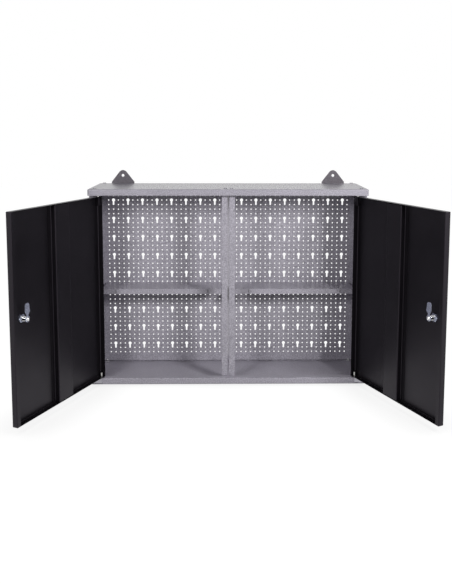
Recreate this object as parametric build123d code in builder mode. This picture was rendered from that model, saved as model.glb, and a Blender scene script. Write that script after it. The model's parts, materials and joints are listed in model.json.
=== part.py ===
from build123d import *
import os
from math import cos, radians, sin

# A wall tool cabinet of folded sheet steel, 800 x 572 x 200 mm.
# The case stands on the plane z = 0, its front looks along -Y and its rear ears end at y = depth / 2.
# Every paired piece is drawn for the left side (x < 0) and mirrored to the right.

# Case
width = 800.0
height = 572.0
depth = 200.0
sheet = 1.0            # steel of the case, doors and shelves
bend = 4.0             # outer radius of the folds of the top and bottom pans
flange = 19.0          # height of the pans' flanges
recess = 20.0          # rebate for the doors, measured back from the front
seam = 0.3             # gap between edges that meet without a weld

# Hanging ears
ear_sheet = 2.0
ear_side = 73.0        # ear axis from the side of the cabinet
ear_rise = 40.5        # apex above the top of the case
ear_apex_r = 12.0
ear_half = 34.0
ear_corner_r = 5.0
ear_foot_half = 22.0
ear_foot_drop = 16.0   # foot edge below the top of the case
ear_hole_d = 10.0
ear_hole_drop = 16.5   # hole axis below the apex

# Tab and slot joints
tab_width = 5.0
tab_rise = 1.5         # height of a tab above the top of the case
tab_slot = (9.0, 2.0)
front_tab_side = 18.0  # tabs from the side of the cabinet
rear_tab_side = 15.6

# Side panels
strip = 20.0           # width of the front strip that the door closes on
strip_return = 12.0
rear_return = 25.0
rear_step = 2.0        # side panels end this far inside the rear of the pans
side_fold_r = 3.0      # outer radius of the side panels' folds

# Centre posts
post_gap = 5.0
post_face = 16.5
post_web = 24.0
post_tab_inset = 6.3

# Perforated back trays
back_inset = 10.0      # perforated face from the rear of the ears
tray_clear = 0.25      # beside the tray
tray_end_clear = 1.0   # above and below it
tray_lip = 12.0
column_pitch = 15.0
row_pitch = 14.3
first_column = 26.6    # innermost column from the middle of the cabinet
side_margin = 22.0     # least distance from the outermost column to the side
first_row = 38.0       # top row below the top of the case
low_margin = 25.0      # least height of the lowest row
key_columns = 3        # a keyhole in every third column
key_rows = 4           # and in every fourth row
key_slot = 6.0         # slot's width, and the side of the keyhole's six-sided head

# Shelves on gusset brackets
shelf_top = 258.8
shelf_depth = 87.0
shelf_inner = 21.0     # inner end from the middle of the cabinet
shelf_side = 19.0      # outer end from the side of the cabinet
shelf_lip = 16.0
gusset = 1.5
gusset_inset = 41.0    # gusset from the end of the shelf
gusset_nose = 12.0
gusset_height = 33.0
gusset_foot = 18.0
gusset_slot = (3.6, 10.6)

# Doors
door_open = 114.0      # opening shown, measured from closed
door_thick = 16.0
door_low_gap = 1.3     # door above the lower lip
door_high_gap = 2.7    # door below the upper lip
door_meet = 2.0        # free edge from the middle of the closed cabinet
door_edge_r = 2.0
door_lip = 12.4        # return lip along the free edge
pivot_side = 29.5      # pivot from the side of the cabinet
pivot_front = 10.0     # pivot behind the front
pivot_face = 8.0       # pivot behind the door's outer face
pivot_edge = 8.0       # pivot from the door's hinge edge

# Door stiffener, a hat profile
rib_near = 145.0       # hinge side of the hat from the pivot
rib_width = 59.0
rib_foot = 12.0

# Hinge brackets with their pins
bracket_sheet = 1.5
bracket_inner = 38.0   # ends of the bracket from the side of the cabinet
bracket_outer = 4.5
window_inner = 32.0    # opening in the lower flange that shows the bracket, from the side
window_outer = 7.0
pin_d = 6.0
pin_rise = 14.0        # pin above the lip
collar_d = 11.0
collar = 1.0           # thickness of the collar that carries the door
bore_clear = 0.05      # radial running clearance
block_side = 12.0      # bearing block in the upper hinge corner of the door
block_height = 25.0

# Cam locks, each clamped to the door by a hexagon nut
lock_edge = 42.0       # lock axis from the door's free edge
lock_z = 282.0
barrel_d = 13.0
barrel_head_d = 18.0
barrel_head = 2.0
barrel_hole_clear = 0.15
plug_d = 10.0
plug_face = 0.4
plug_square = 6.0
key_slit = (1.4, 7.0)
key_slit_depth = 3.0
nut_af = 19.0
nut_thick = 4.0
cam_thick = 2.0
cam_width = 15.0
cam_waist = 11.0
cam_hub_d = 17.0
cam_shoulder = 14.0    # widening of the cam, above its axis
cam_gap = 0.6          # cam behind the face of the post
cam_web_gap = 1.0      # cam's end from the web of the post

# Derived places
front = -depth / 2
rear = depth / 2 - ear_sheet
case_depth = rear - front
top_under = height - sheet
lip_depth = recess - seam
strip_front = front + recess
back_face = depth / 2 - back_inset
side_rear = rear - rear_step
tray_rear = side_rear - sheet
tray_depth = tray_rear - back_face
pivot_x = width / 2 - pivot_side
pivot_y = front + pivot_front
ear_x = width / 2 - ear_side
columns = int((width / 2 - first_column - side_margin) / column_pitch) + 1
rows = int((height - first_row - low_margin) / row_pitch) + 1
door_low = flange + door_low_gap
door_high = height - flange - door_high_gap
door_free = pivot_x - door_meet
door_width = door_free + pivot_edge
rim = door_thick - pivot_face          # inner rim of the door, from the pivot
skin = sheet - pivot_face              # inner surface of the door's skin, from the pivot
lock_s = door_free - lock_edge
cam_plane = strip_front + sheet + cam_gap - pivot_y
cam_reach = pivot_x - lock_s - post_gap / 2 - sheet - cam_web_gap
mid_height = Plane.XY.offset(height / 2)
pivot = Plane((-pivot_x, pivot_y, 0))
swing = radians(door_open)
along = Vector(cos(swing), -sin(swing), 0)
inward = Vector(sin(swing), cos(swing), 0)
door_plan = Plane(origin=(-pivot_x, pivot_y, 0), x_dir=along, z_dir=(0, 0, 1))


def save(part, label):
    """Write one named piece."""
    part.label = label
    export_step(part, f"parts/{label}.step")


def save_pair(part, label):
    """Write a left-hand piece and its mirror image."""
    save(part, f"{label}_left")
    save(mirror(part, about=Plane.YZ), f"{label}_right")


def span(low, high):
    """Middle and length of a stretch."""
    return (low + high) / 2, high - low


def facing_front(y):
    """Plane at depth y with local axes X and Z, looking towards the front."""
    return Plane.XZ.offset(-y)


def lock_plane(v):
    """Plane across the lock axis, v inward of the pivot, with X towards the hinge and Y up."""
    origin = Vector(-pivot_x, pivot_y, lock_z) + along * lock_s + inward * v
    return Plane(origin=origin, x_dir=-along, z_dir=inward)


def column_x(index):
    """Distance of a perforation column from the middle."""
    return first_column + column_pitch * index


def row_z(index):
    """Height of a perforation row."""
    return height - first_row - row_pitch * index


os.makedirs("parts", exist_ok=True)

# Top pan: folded on all four sides, with a lip turned back behind the front flange, between the hinges.
post_tab = (post_gap / 2 + post_tab_inset, strip_front + sheet / 2)
front_tab = (width / 2 - front_tab_side, strip_front + sheet / 2)
rear_tab = (width / 2 - rear_tab_side, side_rear - sheet / 2)
tab_spots = [(side * x, y) for side in (-1, 1) for x, y in (post_tab, front_tab, rear_tab)]
lip_y, lip_run = span(front + sheet, front + lip_depth)
lip_length = width - 2 * (bracket_inner + seam)
with BuildPart() as top_panel:
    with BuildSketch(Plane.XY.offset(height - flange)):
        with Locations((0, (front + rear) / 2)):
            Rectangle(width, case_depth)
    extrude(amount=flange)
    fillet(top_panel.edges().group_by(Axis.Z)[-1], radius=bend)
    offset(amount=-sheet, openings=top_panel.faces().sort_by(Axis.Z)[0])
    with BuildSketch(Plane.XY.offset(height - flange)):
        with Locations((0, lip_y)):
            Rectangle(lip_length, lip_run)
    extrude(amount=sheet)
    with BuildSketch(Plane.XY.offset(height - bend)):
        with Locations(*tab_spots):
            Rectangle(*tab_slot)
    extrude(amount=bend, mode=Mode.SUBTRACT)
save(top_panel.part, "top_panel")

# Bottom pan: the same folding upside down, with a window over each lower hinge bracket.
window_x, window_run = span(width / 2 - window_inner, width / 2 - window_outer)
with BuildPart() as bottom_panel:
    with BuildSketch():
        with Locations((0, (front + rear) / 2)):
            Rectangle(width, case_depth)
    extrude(amount=flange)
    fillet(bottom_panel.edges().group_by(Axis.Z)[0], radius=bend)
    offset(amount=-sheet, openings=bottom_panel.faces().sort_by(Axis.Z)[-1])
    with BuildSketch(Plane.XY.offset(flange - sheet)):
        with Locations((0, lip_y)):
            Rectangle(lip_length, lip_run)
    extrude(amount=sheet)
    with BuildSketch():
        with Locations(*tab_spots):
            Rectangle(*tab_slot)
    extrude(amount=bend, mode=Mode.SUBTRACT)
    with BuildSketch(facing_front(front)):
        with Locations((-window_x, (bend + flange - sheet) / 2), (window_x, (bend + flange - sheet) / 2)):
            Rectangle(window_run, flange - sheet - bend)
    extrude(amount=-sheet, mode=Mode.SUBTRACT)
save(bottom_panel.part, "bottom_panel")

# Side panel: one sheet folded into a front strip with a return, and a rear return.
side_out = width / 2 - sheet
strip_in = side_out - strip
with BuildPart() as side_panel:
    with BuildSketch(Plane.XY.offset(bend)):
        with BuildLine():
            fold = Polyline(
                (-strip_in, strip_front + strip_return),
                (-strip_in, strip_front),
                (-side_out, strip_front),
                (-side_out, side_rear),
                (-side_out + rear_return, side_rear),
            )
            offset(fold, amount=sheet, side=Side.RIGHT)
        make_face()
    extrude(amount=height - 2 * bend)
    fillet(side_panel.edges().filter_by(Axis.Z).group_by(Axis.X)[0], radius=side_fold_r)
    for base, rise in ((height - bend, bend + tab_rise), (0, bend)):
        with BuildSketch(Plane.XY.offset(base)):
            with Locations((-front_tab[0], front_tab[1]), (-rear_tab[0], rear_tab[1])):
                Rectangle(tab_width, sheet)
        extrude(amount=rise)
save_pair(side_panel.part, "side_panel")

# Centre post: an angle whose face the free edge of the door closes on.
post_in = post_gap / 2
with BuildPart() as post:
    with BuildSketch(Plane.XY.offset(sheet)):
        with BuildLine():
            fold = Polyline(
                (-post_in - post_face, strip_front),
                (-post_in, strip_front),
                (-post_in, strip_front + post_web),
            )
            offset(fold, amount=sheet, side=Side.LEFT)
        make_face()
    extrude(amount=height - 2 * sheet)
    for base, rise in ((top_under, sheet + tab_rise), (0, sheet)):
        with BuildSketch(Plane.XY.offset(base)):
            with Locations((-post_tab[0], post_tab[1])):
                Rectangle(tab_width, sheet)
        extrude(amount=rise)
save_pair(post.part, "centre_post")

# Perforated back: a shallow tray with keyholes for hooks and a lip on the outer side.
tray_outer = side_out - sheet - tray_clear
tray_x, tray_width = span(tray_clear, tray_outer)
tray_low = sheet + tray_end_clear
tray_z, tray_height = span(tray_low, height - tray_low)
key_x = column_x(columns - 2 - key_columns * (columns // key_columns - 1) / 2)
key_z = row_z(1 + key_rows * (rows // key_rows - 1) / 2)
key_length = row_pitch + key_slot / 2
with BuildSketch() as keyhole:
    RegularPolygon(key_slot, 6)
    with Locations((0, -key_length / 2)):
        Rectangle(key_slot, key_length)
with BuildPart() as back_panel:
    with BuildSketch(facing_front(back_face)):
        with Locations((-tray_x, tray_z)):
            Rectangle(tray_width, tray_height)
    extrude(amount=-tray_depth)
    offset(amount=-sheet, openings=back_panel.faces().sort_by(Axis.Y)[-1])
    with BuildSketch(facing_front(tray_rear)):
        with Locations((tray_lip / 2 - tray_outer, tray_z)):
            Rectangle(tray_lip, tray_height)
    extrude(amount=sheet)
    with BuildSketch(facing_front(back_face)):
        with Locations((-key_x, key_z)):
            with GridLocations(
                key_columns * column_pitch, key_rows * row_pitch, columns // key_columns, rows // key_rows
            ):
                add(keyhole.sketch)
    extrude(amount=-sheet, mode=Mode.SUBTRACT)
save_pair(back_panel.part, "back_panel")

# Shelf: a tray front and ends, open at the back, whose front lip takes the gussets' tabs.
shelf_front = back_face - seam - shelf_depth
shelf_outer = width / 2 - shelf_side
shelf_x, shelf_length = span(shelf_inner, shelf_outer)
shelf_y, shelf_run = span(shelf_front, back_face - seam)
gusset_spots = (shelf_inner + gusset_inset, shelf_outer - gusset_inset)
gusset_z = shelf_top - sheet - gusset_nose / 2
with BuildPart() as shelf:
    with BuildSketch(Plane.XY.offset(shelf_top - shelf_lip)):
        with Locations((-shelf_x, shelf_y)):
            Rectangle(shelf_length, shelf_run)
    extrude(amount=shelf_lip)
    hollow = shelf.faces().sort_by(Axis.Z)[0], shelf.faces().sort_by(Axis.Y)[-1]
    offset(amount=-sheet, openings=hollow)
    with BuildSketch(facing_front(shelf_front)):
        with Locations(*[(-x, gusset_z) for x in gusset_spots]):
            Rectangle(*gusset_slot)
    extrude(amount=-sheet, mode=Mode.SUBTRACT)
save_pair(shelf.part, "shelf")

# Gusset brackets: a tapered web with a tab through the shelf's lip and a foot on the perforated back.
with BuildPart() as gussets:
    for x, toward in zip(gusset_spots, (1, -1)):
        with BuildSketch(Plane.YZ.offset(-x - gusset / 2)):
            with BuildLine():
                Polyline(
                    (shelf_front + sheet + seam, shelf_top - sheet),
                    (back_face, shelf_top - sheet),
                    (back_face, shelf_top - sheet - gusset_height),
                    (back_face - gusset, shelf_top - sheet - gusset_height),
                    (shelf_front + sheet + seam, shelf_top - sheet - gusset_nose),
                    close=True,
                )
            make_face()
        extrude(amount=gusset)
        with BuildSketch(facing_front(shelf_front)):
            with Locations((-x, gusset_z)):
                Rectangle(gusset, gusset_slot[1] - 2 * seam)
        extrude(amount=-(sheet + 2 * seam))
        with BuildSketch(facing_front(back_face)):
            with Locations((-x - toward * gusset_foot / 2, shelf_top - sheet - gusset_height / 2)):
                Rectangle(gusset_foot, gusset_height)
        extrude(amount=gusset)
save_pair(gussets.part, "shelf_gussets")

# Hanging ear: a rounded kite of thicker plate, welded behind the top pan.
ear_top = height + ear_rise
ear_foot = height - ear_foot_drop
with BuildPart() as hanging_ear:
    with BuildSketch(facing_front(rear)):
        with Locations((-ear_x, ear_top - ear_apex_r)):
            Circle(ear_apex_r)
        with Locations((-ear_x, height + ear_corner_r / 2)):
            with GridLocations(2 * (ear_half - ear_corner_r), 1, 2, 1):
                Circle(ear_corner_r)
        with Locations((-ear_x, ear_foot + sheet / 2)):
            Rectangle(2 * ear_foot_half, sheet)
        make_hull()
        with Locations((-ear_x, ear_top - ear_hole_drop)):
            Circle(ear_hole_d / 2, mode=Mode.SUBTRACT)
    extrude(amount=-ear_sheet)
save_pair(hanging_ear.part, "hanging_ear")

# Hinge brackets: angles that close the ends of the lips and carry the door's pins, alike above and below
# but for the collar that the door rests on.
with BuildPart() as hinge_brackets:
    with BuildSketch(Plane.YZ.offset(bracket_outer - width / 2)):
        with BuildLine():
            angle = Polyline(
                (front + sheet, bend),
                (front + sheet, flange),
                (front + lip_depth, flange),
            )
            offset(angle, amount=bracket_sheet, side=Side.RIGHT)
        make_face()
    extrude(amount=bracket_inner - bracket_outer)
    with BuildSketch(pivot.offset(flange)):
        Circle(pin_d / 2)
    extrude(amount=pin_rise)
    mirror(about=mid_height)
    with BuildSketch(pivot.offset(flange)):
        Circle(collar_d / 2)
    extrude(amount=collar)
save_pair(hinge_brackets.part, "hinge_brackets")

# Door: a pan folded on four sides, with a lip returned along the free edge and a bearing block
# for the upper pin in its hinge corner.
door_s = door_width / 2 - pivot_edge
free_s = door_width - pivot_edge
lip_s, lip_width = span(free_s - door_lip, free_s - sheet)
with BuildPart() as door:
    with BuildSketch(door_plan.offset(door_low)):
        with Locations((door_s, (rim - pivot_face) / 2)):
            Rectangle(door_width, door_thick)
    extrude(amount=door_high - door_low)
    fillet(door.faces().sort_by(Axis(door_plan.origin, inward))[0].edges(), radius=door_edge_r)
    offset(amount=-sheet, openings=door.faces().sort_by(Axis(door_plan.origin, inward))[-1])
    with BuildSketch(door_plan.offset(door_low)):
        with Locations((lip_s, rim - sheet / 2)):
            Rectangle(lip_width, sheet)
    extrude(amount=door_high - door_low)
    with BuildSketch(door_plan.offset(door_high - sheet - block_height)):
        with Locations((sheet - pivot_edge + block_side / 2, skin + block_side / 2)):
            Rectangle(block_side, block_side)
    extrude(amount=block_height)
    with BuildSketch(door_plan.offset(door_low)):
        Circle(pin_d / 2 + bore_clear)
    extrude(amount=door_high, mode=Mode.SUBTRACT)
    with BuildSketch(lock_plane(-pivot_face)):
        Circle(barrel_d / 2 + barrel_hole_clear)
    extrude(amount=sheet, mode=Mode.SUBTRACT)
save_pair(door.part, "door")

# Stiffener: a hat profile from flange to flange, its crown level with the door's rim.
with BuildPart() as stiffener:
    with BuildSketch(door_plan.offset(door_low + door_edge_r)):
        with BuildLine():
            hat = Polyline(
                (rib_near - rib_foot, skin + sheet),
                (rib_near, skin + sheet),
                (rib_near, rim),
                (rib_near + rib_width, rim),
                (rib_near + rib_width, skin + sheet),
                (rib_near + rib_width + rib_foot, skin + sheet),
            )
            offset(hat, amount=sheet, side=Side.RIGHT)
        make_face()
    extrude(amount=door_high - door_low - 2 * door_edge_r)
save_pair(stiffener.part, "door_stiffener")

# Lock barrel: a round body with a face flange outside the door.
with BuildPart() as lock_barrel:
    with BuildSketch(lock_plane(-pivot_face - barrel_head)):
        Circle(barrel_head_d / 2)
    extrude(amount=barrel_head)
    with BuildSketch(lock_plane(-pivot_face)):
        Circle(barrel_d / 2)
    extrude(amount=cam_plane - seam + pivot_face)
    with BuildSketch(lock_plane(-pivot_face - barrel_head)):
        Circle(plug_d / 2 + bore_clear)
    extrude(amount=cam_plane + pivot_face + barrel_head, mode=Mode.SUBTRACT)
save_pair(lock_barrel.part, "lock_barrel")

# Lock plug: turns in the barrel; key slit in front, square tail for the cam behind.
plug_front = -pivot_face - barrel_head - plug_face
with BuildPart() as lock_plug:
    with BuildSketch(lock_plane(plug_front)):
        Circle(plug_d / 2)
    extrude(amount=cam_plane - plug_front)
    with BuildSketch(lock_plane(cam_plane)):
        Rectangle(plug_square, plug_square)
    extrude(amount=cam_thick)
    with BuildSketch(lock_plane(plug_front)):
        Rectangle(*key_slit)
    extrude(amount=key_slit_depth, mode=Mode.SUBTRACT)
save_pair(lock_plug.part, "lock_plug")

# Lock nut: clamps the barrel, against the inside of the door.
with BuildPart() as lock_nut:
    with BuildSketch(lock_plane(skin)):
        RegularPolygon(nut_af / 2, 6, major_radius=False)
        Circle(barrel_d / 2 + bore_clear, mode=Mode.SUBTRACT)
    extrude(amount=nut_thick)
save_pair(lock_nut.part, "lock_nut")

# Lock cam: points up when open and turns behind the post to lock.
tip_y, tip_length = span(cam_shoulder, cam_reach - cam_width / 2)
with BuildPart() as lock_cam:
    with BuildSketch(lock_plane(cam_plane)):
        Circle(cam_hub_d / 2)
        with Locations((0, cam_reach - cam_width / 2)):
            Circle(cam_width / 2)
        with Locations((0, tip_y)):
            Rectangle(cam_width, tip_length)
        with Locations((0, cam_shoulder / 2)):
            Rectangle(cam_waist, cam_shoulder)
        Rectangle(plug_square + 2 * bore_clear, plug_square + 2 * bore_clear, mode=Mode.SUBTRACT)
    extrude(amount=cam_thick)
save_pair(lock_cam.part, "lock_cam")
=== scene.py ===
import json
from math import atan2, cos, pi, radians, sin

import bmesh
import bpy
from mathutils import Matrix, Vector
from mathutils.geometry import tessellate_polygon

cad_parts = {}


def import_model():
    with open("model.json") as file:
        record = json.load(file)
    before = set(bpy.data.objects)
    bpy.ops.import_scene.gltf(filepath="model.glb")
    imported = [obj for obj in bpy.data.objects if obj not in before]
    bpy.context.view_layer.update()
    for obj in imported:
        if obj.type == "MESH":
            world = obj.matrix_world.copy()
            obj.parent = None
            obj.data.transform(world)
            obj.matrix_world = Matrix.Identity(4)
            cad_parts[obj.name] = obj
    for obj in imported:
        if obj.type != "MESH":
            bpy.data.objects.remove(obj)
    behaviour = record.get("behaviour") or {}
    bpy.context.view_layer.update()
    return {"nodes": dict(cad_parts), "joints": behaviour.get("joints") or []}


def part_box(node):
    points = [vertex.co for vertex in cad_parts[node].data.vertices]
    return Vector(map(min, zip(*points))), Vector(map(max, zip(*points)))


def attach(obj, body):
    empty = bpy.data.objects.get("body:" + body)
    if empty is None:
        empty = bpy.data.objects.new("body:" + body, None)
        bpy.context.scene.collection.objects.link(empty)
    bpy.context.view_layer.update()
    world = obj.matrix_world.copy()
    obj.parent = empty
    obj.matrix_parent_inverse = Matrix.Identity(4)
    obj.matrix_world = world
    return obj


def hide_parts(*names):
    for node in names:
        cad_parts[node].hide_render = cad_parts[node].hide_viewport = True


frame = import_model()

# The wall tool cabinet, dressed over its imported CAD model.
# Lengths that are written down are millimetres times MM; every place comes from the frame.
MM = 0.001
SIDES = {"left": -1, "right": 1}
LEVEL = Vector((0, 0, 1))

JOINTS = {joint["name"]: joint for joint in frame["joints"]}
PIVOT = Vector(JOINTS["left_door_hinge"]["pos_m"])
LOCK = Vector(JOINTS["left_lock_turn"]["pos_m"])
INWARD = Vector(JOINTS["left_lock_turn"]["axis"])          # out of the inside of the left door
HINGEWARD = LEVEL.cross(INWARD)                            # along the left door, towards its hinge

SHEET = 1.0 * MM
EDGE = 0.22 * MM          # rounding of cut edges
FOLD_STEPS = 8            # facets in a quarter turn
ROUND_STEPS = 32          # facets in a full turn


# ---------------------------------------------------------------- materials

def add_node(tree, kind, inputs=None, **settings):
    """Adds a shader node; an input is a number or colour, or the socket that feeds it."""
    made = tree.nodes.new(kind)
    for name, value in settings.items():
        setattr(made, name, value)
    for name, value in (inputs or {}).items():
        if isinstance(value, bpy.types.NodeSocket):
            tree.links.new(value, made.inputs[name])
        else:
            made.inputs[name].default_value = value
    return made


def new_material(name, **shader):
    """A material with one Principled shader and object coordinates."""
    material = bpy.data.materials.new(name)
    material.use_nodes = True
    tree = material.node_tree
    tree.nodes.clear()
    surface = add_node(tree, "ShaderNodeBsdfPrincipled", shader)
    output = add_node(tree, "ShaderNodeOutputMaterial")
    tree.links.new(surface.outputs["BSDF"], output.inputs["Surface"])
    place = add_node(tree, "ShaderNodeTexCoord").outputs["Object"]
    return material, tree, surface, place


def noise(tree, place, grain, detail=2.0, roughness=0.5):
    """Noise whose features are about this long, in metres."""
    return add_node(
        tree, "ShaderNodeTexNoise",
        {"Vector": place, "Scale": 1 / grain, "Detail": detail, "Roughness": roughness},
    ).outputs["Fac"]


def ramp(tree, fac, stops):
    """Colour ramp through (position, colour) stops."""
    made = add_node(tree, "ShaderNodeValToRGB", {"Fac": fac})
    elements = made.color_ramp.elements
    while len(elements) < len(stops):
        elements.new(1.0)
    for element, (position, colour) in zip(elements, stops):
        element.position = position
        element.color = (*colour, 1)
    return made.outputs["Color"]


def between(tree, fac, low, high, start=0.3, stop=0.7):
    """Number that runs from low to high as fac runs from start to stop."""
    return add_node(
        tree, "ShaderNodeMapRange",
        {"Value": fac, "From Min": start, "From Max": stop, "To Min": low, "To Max": high},
    ).outputs["Result"]


def bump(tree, surface, *layers):
    """Stacks (height socket, depth in metres) layers into the shader's normal."""
    normal = None
    for height, depth in layers:
        inputs = {"Height": height, "Distance": depth, "Strength": 1.0}
        if normal is not None:
            inputs["Normal"] = normal
        normal = add_node(tree, "ShaderNodeBump", inputs).outputs["Normal"]
    tree.links.new(normal, surface.inputs["Normal"])


def hammertone(name, dark, light, sheen, speck=2.7 * MM):
    """Powder coat of two mixed greys with a fine pebbled skin."""
    material, tree, surface, place = new_material(name, Metallic=0.0)
    cells = noise(tree, place, speck, 3.0, 0.62)
    cloud = noise(tree, place, 90 * MM, 1.0)
    grain = noise(tree, place, 0.9 * MM, 2.0)
    middle = [(a + b) / 2 for a, b in zip(dark, light)]
    speckle = ramp(tree, cells, ((0.38, dark), (0.5, middle), (0.62, light)))
    shade = between(tree, cloud, 0.96, 1.04)
    tint = add_node(tree, "ShaderNodeVectorMath", {0: speckle, 1: shade}, operation="MULTIPLY")
    tree.links.new(tint.outputs["Vector"], surface.inputs["Base Color"])
    surface.inputs["Specular IOR Level"].default_value = 0.3
    tree.links.new(between(tree, cells, sheen + 0.04, sheen - 0.04), surface.inputs["Roughness"])
    bump(tree, surface, (cells, 0.025 * MM), (grain, 0.004 * MM))
    return material


def gloss_black(name):
    """Black powder coat, glossy, with a soft orange peel and a trace of dust."""
    material, tree, surface, place = new_material(name, Metallic=0.0)
    peel = noise(tree, place, 2.6 * MM, 1.5)
    dust = noise(tree, place, 0.7 * MM, 3.0, 0.7)
    wipe = noise(tree, place, 70 * MM, 3.0)
    black = ramp(tree, dust, ((0.3, (0.0030, 0.0027, 0.0034)), (0.8, (0.0056, 0.0050, 0.0062))))
    surface.inputs["Specular IOR Level"].default_value = 0.28
    surface.inputs["Specular Tint"].default_value = (0.93, 0.82, 1.0, 1)
    tree.links.new(black, surface.inputs["Base Color"])
    tree.links.new(between(tree, wipe, 0.34, 0.42), surface.inputs["Roughness"])
    bump(tree, surface, (peel, 0.035 * MM), (dust, 0.004 * MM))
    return material


def plated(name, colour, dull, grain, depth, metal=1.0):
    """Plated metal with faint clouds and fine marks."""
    material, tree, surface, place = new_material(name, Metallic=metal)
    cloud = noise(tree, place, 9 * MM, 3.0)
    marks = noise(tree, place, grain, 3.0, 0.7)
    darker = [c * 0.86 for c in colour]
    tree.links.new(ramp(tree, cloud, ((0.3, darker), (0.7, colour))), surface.inputs["Base Color"])
    tree.links.new(between(tree, marks, dull, dull + 0.14), surface.inputs["Roughness"])
    bump(tree, surface, (marks, depth))
    return material


CASE_COAT = hammertone("case_coat", (0.272, 0.258, 0.300), (0.510, 0.487, 0.550), 0.27)
EAR_COAT = hammertone("ear_coat", (0.088, 0.078, 0.093), (0.158, 0.145, 0.165), 0.42)
DOOR_COAT = gloss_black("door_coat")
ZINC = plated("zinc", (0.66, 0.66, 0.63), 0.24, 0.6 * MM, 0.006 * MM)
BLUE_ZINC = plated("blue_zinc", (0.62, 0.66, 0.82), 0.16, 0.6 * MM, 0.006 * MM, metal=0.7)
GREY_ZINC = plated("grey_zinc", (0.42, 0.41, 0.45), 0.45, 0.8 * MM, 0.008 * MM)
# near-black metal that paints shade on the tab ends above the top
TAB_END_SHADE = plated("tab_end_painted_shade", (0.09, 0.09, 0.10), 0.5, 0.4 * MM, 0.01 * MM)
CHROME = plated("lock_chrome", (0.78, 0.78, 0.79), 0.08, 0.5 * MM, 0.002 * MM)


# ---------------------------------------------------------------- mesh helpers

def shown(bm, name, material, body, smooth=50):
    """Turns a bmesh into a piece that rides on a body. Edges sharper than smooth degrees stay sharp."""
    bmesh.ops.recalc_face_normals(bm, faces=bm.faces)
    mesh = bpy.data.meshes.new(name)
    bm.to_mesh(mesh)
    bm.free()
    piece = bpy.data.objects.new(name, mesh)
    bpy.context.scene.collection.objects.link(piece)
    shade(piece, material, smooth)
    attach(piece, body)
    return piece


def shade(piece, material, smooth=50):
    """Smooth shading in which large flat faces stay flat."""
    mesh = piece.data
    mesh.polygons.foreach_set("use_smooth", [True] * len(mesh.polygons))
    mesh.set_sharp_from_angle(angle=radians(smooth))
    mesh.materials.clear()
    mesh.materials.append(material)
    weighted = piece.modifiers.new("weighted_normal", "WEIGHTED_NORMAL")
    weighted.keep_sharp = True


def dressed(node, material, body, edge=EDGE):
    """The CAD node's own shape with its cut edges broken."""
    bm = bmesh.new()
    bm.from_mesh(frame["nodes"][node].data)
    bmesh.ops.remove_doubles(bm, verts=bm.verts, dist=0.001 * MM)
    bmesh.ops.dissolve_limit(bm, angle_limit=radians(0.5), verts=bm.verts, edges=bm.edges)
    corners = [e for e in bm.edges if e.is_manifold and e.calc_face_angle() > radians(40)]
    bmesh.ops.bevel(bm, geom=corners, offset=edge, segments=1, affect="EDGES", clamp_overlap=False)
    piece = shown(bm, f"{node}_sheet", material, body)
    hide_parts(node)
    return piece


def mirrored(bm, side):
    """What was drawn for the left side goes to that side."""
    if side > 0:
        bmesh.ops.transform(bm, matrix=Matrix.Scale(-1, 4, Vector((1, 0, 0))), verts=bm.verts)


def loft(bm, loops):
    """Faces between closed loops of points with the same count. Returns the vertex rings."""
    rings = [[bm.verts.new(point) for point in loop] for loop in loops]
    for ring, following in zip(rings, rings[1:]):
        for i, vertex in enumerate(ring):
            j = (i + 1) % len(ring)
            bm.faces.new((vertex, ring[j], following[j], following[i]))
    return rings


def box(bm, low, high):
    """A plain block between two corners."""
    (x0, y0, z0), (x1, y1, z1) = low, high
    rings = loft(bm, [[(x0, y0, z), (x1, y0, z), (x1, y1, z), (x0, y1, z)] for z in (z0, z1)])
    for ring in (rings[0], rings[-1]):
        bm.faces.new(ring)


def circle(radius, steps=ROUND_STEPS, turn=0.0):
    """Points of a circle in the plane."""
    return [(radius * cos(2 * pi * i / steps + turn), radius * sin(2 * pi * i / steps + turn)) for i in range(steps)]


def turned(bm, profile, matrix, steps=ROUND_STEPS):
    """Turns (radius, height) points about the matrix's Z axis; ends on the axis are closed."""
    loops = [[matrix @ Vector((x, y, height)) for x, y in circle(radius, steps)] for radius, height in profile]
    rings = loft(bm, loops)
    for ring in (rings[0], rings[-1]):
        bm.faces.new(ring)
    return rings


def quarter(centre, radius, start, steps=FOLD_STEPS):
    """Points of a quarter turn in a profile, from the start angle in quarter turns."""
    u, v = centre
    angles = [(start + i / steps) * pi / 2 for i in range(steps + 1)]
    return [(u + radius * cos(a), v + radius * sin(a)) for a in angles]


def folded(path, thick, bend, steps=5):
    """Section of a sheet with square folds: its surface follows the path, its thickness lies to the right."""
    points = [Vector(point) for point in path]
    runs = [(b - a).normalized() for a, b in zip(points, points[1:])]
    right = [Vector((run.y, -run.x)) for run in runs]
    near = [points[0]]
    far = [points[0] + right[0] * thick]
    for corner, run, following in zip(points[1:], runs, runs[1:]):
        outside = run.cross(following) < 0
        radius = bend + thick if outside else bend
        centre = corner + (following - run) * radius
        for i in range(steps + 1):
            a = pi / 2 * i / steps
            direction = run * sin(a) - following * cos(a)
            near.append(centre + direction * radius)
            far.append(centre + direction * (bend if outside else bend + thick))
    near.append(points[-1])
    far.append(points[-1] + right[-1] * thick)
    return [tuple(point) for point in near + far[::-1]]


def combine(piece, other, operation):
    """Boolean of two pieces, written into the first one's mesh."""
    modifier = piece.modifiers.new("combine", "BOOLEAN")
    modifier.object = other
    modifier.operation = operation
    modifier.solver = "EXACT"
    piece.modifiers.move(len(piece.modifiers) - 1, 0)
    weighted = piece.modifiers["weighted_normal"]
    weighted.show_viewport = False
    depsgraph = bpy.context.evaluated_depsgraph_get()
    mesh = bpy.data.meshes.new_from_object(piece.evaluated_get(depsgraph))
    piece.modifiers.clear()
    piece.data = mesh
    bpy.data.objects.remove(other)


# ---------------------------------------------------------------- case: top and bottom pans

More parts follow.
